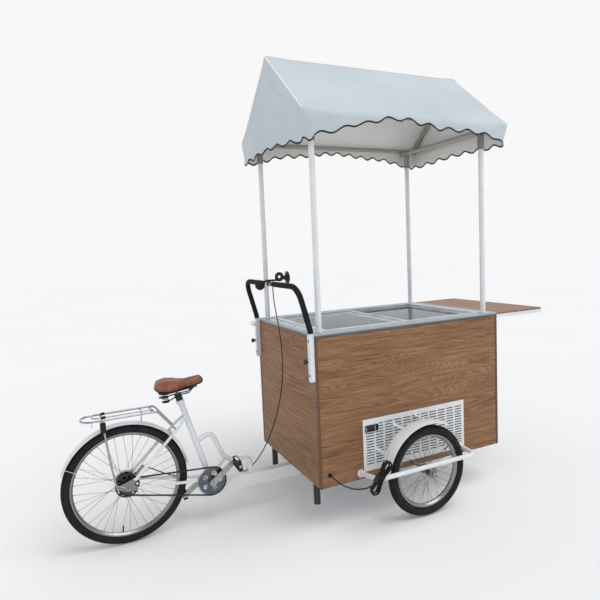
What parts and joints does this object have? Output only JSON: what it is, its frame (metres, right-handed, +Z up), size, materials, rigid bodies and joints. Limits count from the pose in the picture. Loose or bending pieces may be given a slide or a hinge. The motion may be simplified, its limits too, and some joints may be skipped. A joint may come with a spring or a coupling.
{
  "type": "beverage bike",
  "caption": "Pedal tricycle with a steering rear frame and a chilled drinks counter between its front wheels, with sliding lids, folding shelves, a push bar and a gabled canopy.",
  "frame": {"origin": "on the ground, on the middle plane, half way between the rear tyre's back and the front shelf's edge", "axes": "+X forward in the riding direction, +Y to the rider's left, +Z up"},
  "size_m": [2.9879, 1.3028, 2.6609],
  "materials": {
    "white_paint": "satin",
    "wood_laminate": "satin",
    "dark_trim": "satin",
    "deck_steel": "satin",
    "liner": "satin",
    "aluminium": "satin",
    "glass": "gloss",
    "black_plastic": "satin",
    "chrome": "polished",
    "steel": "satin",
    "cooling": "satin",
    "zinc": "satin",
    "tyre": "matte",
    "rubber": "matte",
    "foam": "matte",
    "leather": "satin",
    "canopy_cloth": "matte",
    "chain_steel": "satin"
  },
  "bodies": {
    "cart": {"chassis_frame": "white_paint", "kingpin": "steel", "front_axles": "steel", "wheel_guards": "white_paint", "front_fenders": "white_paint", "steering_stops": "rubber", "wood_panels": "wood_laminate", "edge_trim": "dark_trim", "top_deck": "deck_steel", "freezer_tank": "liner", "lid_rails": "dark_trim", "vent_grille": "white_paint", "thermostat": "black_plastic", "cooling_unit": "cooling", "handlebar_sockets": "white_paint", "canopy_frame": "white_paint", "canopy": "canopy_cloth", "shelf_hinges": "white_paint", "cord_gland": "black_plastic", "power_cord": "rubber", "cord_hank": "rubber", "power_plug": "black_plastic", "brake_cable": "rubber"},
    "fan": {"condenser_fan": "black_plastic"},
    "button": {"power_button": "black_plastic"},
    "rear_lid": {"rear_lid_frame": "aluminium", "rear_lid_glass": "glass"},
    "front_lid": {"front_lid_frame": "aluminium", "front_lid_glass": "glass"},
    "front_shelf": {"front_shelf_frame": "white_paint", "front_shelf_board": "wood_laminate"},
    "left_shelf": {"left_shelf": "white_paint"},
    "handlebar": {"handlebar": "chrome", "handlebar_foam": "foam", "horn": "black_plastic", "horn_bulb": "rubber"},
    "brake_lever": {"brake_lever": "black_plastic"},
    "right_knob": {"right_clamp_knob": "black_plastic"},
    "left_knob": {"left_clamp_knob": "black_plastic"},
    "right_wheel": {"right_front_wheel": "chrome", "right_front_tyre": "tyre"},
    "left_wheel": {"left_front_wheel": "chrome", "left_front_tyre": "tyre"},
    "rear_frame": {"main_beam": "white_paint", "bike_frame": "white_paint", "rear_fender": "white_paint", "rear_rack": "chrome", "rear_axle_brake": "steel", "chain": "chain_steel"},
    "saddle": {"seatpost": "chrome", "saddle_springs": "steel", "saddle": "leather"},
    "rack_clip": {"rack_clip": "chrome"},
    "crank": {"crankset": "chrome"},
    "freewheel": {"freewheel": "steel"},
    "right_pedal": {"right_pedal": "black_plastic"},
    "left_pedal": {"left_pedal": "black_plastic"},
    "rear_wheel": {"rear_wheel": "chrome", "rear_tyre": "tyre"},
    "brake_arm": {"brake_arm": "zinc"}
  },
  "joints": [
    {"name": "steer", "type": "hinge", "parent": "cart", "child": "rear_frame", "pos_m": [0.406, 0, 0.193], "axis": [0, 0, 1], "range_deg": [-24, 24], "deforming": ["brake_cable"]},
    {"name": "right_wheel_spin", "type": "hinge", "parent": "cart", "child": "right_wheel", "pos_m": [0.406, -0.56, 0.26], "axis": [0, 1, 0], "continuous": true},
    {"name": "left_wheel_spin", "type": "hinge", "parent": "cart", "child": "left_wheel", "pos_m": [0.406, 0.56, 0.26], "axis": [0, 1, 0], "continuous": true},
    {"name": "rear_wheel_spin", "type": "hinge", "parent": "rear_frame", "child": "rear_wheel", "pos_m": [-1.167, 0, 0.327], "axis": [0, 1, 0], "continuous": true},
    {"name": "crank_spin", "type": "hinge", "parent": "rear_frame", "child": "crank", "pos_m": [-0.71, 0, 0.252], "axis": [0, 1, 0], "continuous": true, "deforming": ["chain"]},
    {"name": "freewheel_spin", "type": "hinge", "parent": "rear_frame", "child": "freewheel", "pos_m": [-1.167, 0, 0.327], "axis": [0, 1, 0], "continuous": true},
    {"name": "right_pedal_spin", "type": "hinge", "parent": "crank", "child": "right_pedal", "pos_m": [-0.57583, -0.12, 0.35311], "axis": [0, 1, 0], "continuous": true},
    {"name": "left_pedal_spin", "type": "hinge", "parent": "crank", "child": "left_pedal", "pos_m": [-0.84417, 0.12, 0.1509], "axis": [0, 1, 0], "continuous": true},
    {"name": "handlebar_height", "type": "slide", "parent": "cart", "child": "handlebar", "axis": [0, 0, 1], "range_m": [0, 0.12]},
    {"name": "brake_squeeze", "type": "hinge", "parent": "handlebar", "child": "brake_lever", "pos_m": [-0.2635, -0.064, 1.349], "axis": [0, 0, -1], "range_deg": [0, 12], "stiffness_Nm_per_rad": 3, "springref_deg": -5.73},
    {"name": "brake_pull", "type": "hinge", "parent": "rear_frame", "child": "brake_arm", "pos_m": [-1.105, 0.055, 0.349], "axis": [0, 1, 0], "range_deg": [0, 10]},
    {"name": "saddle_height", "type": "slide", "parent": "rear_frame", "child": "saddle", "axis": [-0.284, 0, 0.9588], "range_m": [0, 0.08]},
    {"name": "rear_lid_slide", "type": "slide", "parent": "cart", "child": "rear_lid", "axis": [1, 0, 0], "range_m": [0, 0.5]},
    {"name": "front_lid_slide", "type": "slide", "parent": "cart", "child": "front_lid", "axis": [-1, 0, 0], "range_m": [0, 0.5]},
    {"name": "front_shelf_fold", "type": "hinge", "parent": "cart", "child": "front_shelf", "pos_m": [1.0963, 0, 1.048], "axis": [0, 1, 0], "range_deg": [0, 90]},
    {"name": "left_shelf_fold", "type": "hinge", "parent": "cart", "child": "left_shelf", "pos_m": [0.44, 0.4333, 1.01], "axis": [-1, 0, 0], "range_deg": [0, 90]},
    {"name": "rack_clip_lift", "type": "hinge", "parent": "rear_frame", "child": "rack_clip", "pos_m": [-1.013, 0, 0.712], "axis": [0, 1, 0], "range_deg": [0, 75], "stiffness_Nm_per_rad": 1, "springref_deg": -17.19},
    {"name": "right_knob_turn", "type": "hinge", "parent": "cart", "child": "right_knob", "pos_m": [-0.25, -0.408, 0.947], "axis": [1, 0, 0], "range_deg": [-180, 180]},
    {"name": "left_knob_turn", "type": "hinge", "parent": "cart", "child": "left_knob", "pos_m": [-0.25, 0.408, 0.947], "axis": [1, 0, 0], "range_deg": [-180, 180]},
    {"name": "power_press", "type": "slide", "parent": "cart", "child": "button", "axis": [0, 1, 0], "range_m": [0, 0.0015], "stiffness_N_per_m": 400, "springref_m": -0.001},
    {"name": "fan_spin", "type": "hinge", "parent": "cart", "child": "fan", "pos_m": [0.335, -0.3, 0.415], "axis": [0, 1, 0], "continuous": true}
  ],
  "couplings": [
    {"joint": "freewheel_spin", "follows": "crank_spin", "ratio": 1.8182},
    {"joint": "brake_pull", "follows": "brake_squeeze", "ratio": 0.8}
  ]
}
